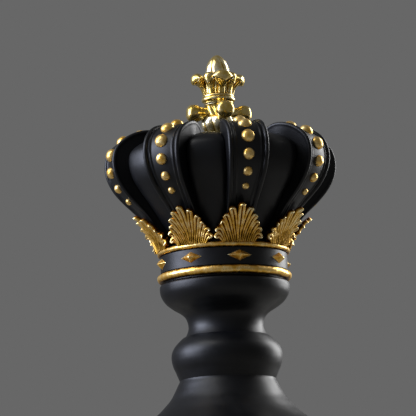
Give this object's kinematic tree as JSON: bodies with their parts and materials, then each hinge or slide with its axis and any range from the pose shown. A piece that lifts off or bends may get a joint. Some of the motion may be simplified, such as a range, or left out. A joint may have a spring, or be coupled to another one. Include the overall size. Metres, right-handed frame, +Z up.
{
  "type": "giant chess king",
  "caption": "Tall black chess king with a domed, arched and gilded crown: studded ribs, acanthus leaves, diamond circlet and cross finial, on a turned stem and weighted round base.",
  "frame": {"origin": "centre of the felt pad's underside, on the surface the piece stands on", "axes": "+Z up along the turning axis; one arch of the crown faces -Y; the arms of the finial's cross lie along X and Y"},
  "size_m": [0.108, 0.108, 0.3048],
  "materials": {
    "black_resin": "satin",
    "gilding": "satin",
    "finial_gilding": "gloss",
    "zinc_steel": "satin",
    "ballast_iron": "matte",
    "plate_paint": "satin",
    "felt": "matte"
  },
  "bodies": {
    "root": {"base_plinth": "black_resin", "base_cushion": "black_resin", "stem": "black_resin", "collar": "black_resin", "knop": "black_resin", "capital": "black_resin", "circlet": "black_resin", "crown_cap": "black_resin", "arch_1": "black_resin", "arch_2": "black_resin", "arch_3": "black_resin", "arch_4": "black_resin", "arch_5": "black_resin", "arch_6": "black_resin", "arch_7": "black_resin", "arch_8": "black_resin", "lower_base_ring": "gilding", "upper_base_ring": "gilding", "lower_circlet_ring": "gilding", "upper_circlet_ring": "gilding", "stud_row_1": "gilding", "stud_row_2": "gilding", "stud_row_3": "gilding", "stud_row_4": "gilding", "stud_row_5": "gilding", "stud_row_6": "gilding", "stud_row_7": "gilding", "stud_row_8": "gilding", "leaf_1": "gilding", "leaf_2": "gilding", "leaf_3": "gilding", "leaf_4": "gilding", "leaf_5": "gilding", "leaf_6": "gilding", "leaf_7": "gilding", "leaf_8": "gilding", "diamond_1": "gilding", "diamond_2": "gilding", "diamond_3": "gilding", "diamond_4": "gilding", "diamond_5": "gilding", "diamond_6": "gilding", "diamond_7": "gilding", "diamond_8": "gilding", "finial_stem": "finial_gilding", "finial_cross": "finial_gilding", "finial_cup": "finial_gilding", "finial_bud": "finial_gilding", "base_screw_1": "zinc_steel", "base_screw_2": "zinc_steel", "base_screw_3": "zinc_steel", "base_screw_4": "zinc_steel", "tie_rod": "zinc_steel", "lower_washer": "zinc_steel", "lower_nut": "zinc_steel", "upper_washer": "zinc_steel", "upper_nut": "zinc_steel", "ballast_disc": "ballast_iron", "base_plate": "plate_paint", "felt_pad": "felt"}
  },
  "joints": []
}
